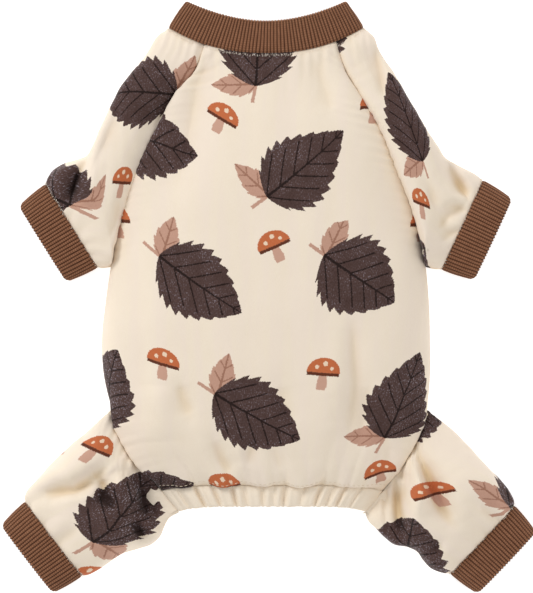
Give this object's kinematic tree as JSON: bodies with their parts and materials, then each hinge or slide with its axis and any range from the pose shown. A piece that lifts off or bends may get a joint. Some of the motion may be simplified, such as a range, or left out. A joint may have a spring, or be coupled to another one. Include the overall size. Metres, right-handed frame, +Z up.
{
  "type": "dog jumpsuit",
  "caption": "Fleece jumpsuit for a small dog, lying flat with its back up: raglan sleeves, hind legs, rib-knit collar and cuffs, and a gathered hem.",
  "frame": {"origin": "on the surface the jumpsuit lies on, under the middle of its box", "axes": "+Z up, +Y towards the neck, +X to the right as seen from above"},
  "size_m": [0.3409, 0.3778, 0.0421],
  "materials": {
    "fleece": "short-pile printed fleece",
    "rib_knit": "rib knit"
  },
  "bodies": {
    "root": {"back_panel": "fleece", "belly_panel": "fleece", "collar_band": "rib_knit", "hem_band": "fleece", "sleeve_left": "fleece", "sleeve_cuff_left": "rib_knit", "sleeve_right": "fleece", "sleeve_cuff_right": "rib_knit", "leg_left": "fleece", "leg_cuff_left": "rib_knit", "leg_right": "fleece", "leg_cuff_right": "rib_knit"}
  },
  "joints": []
}
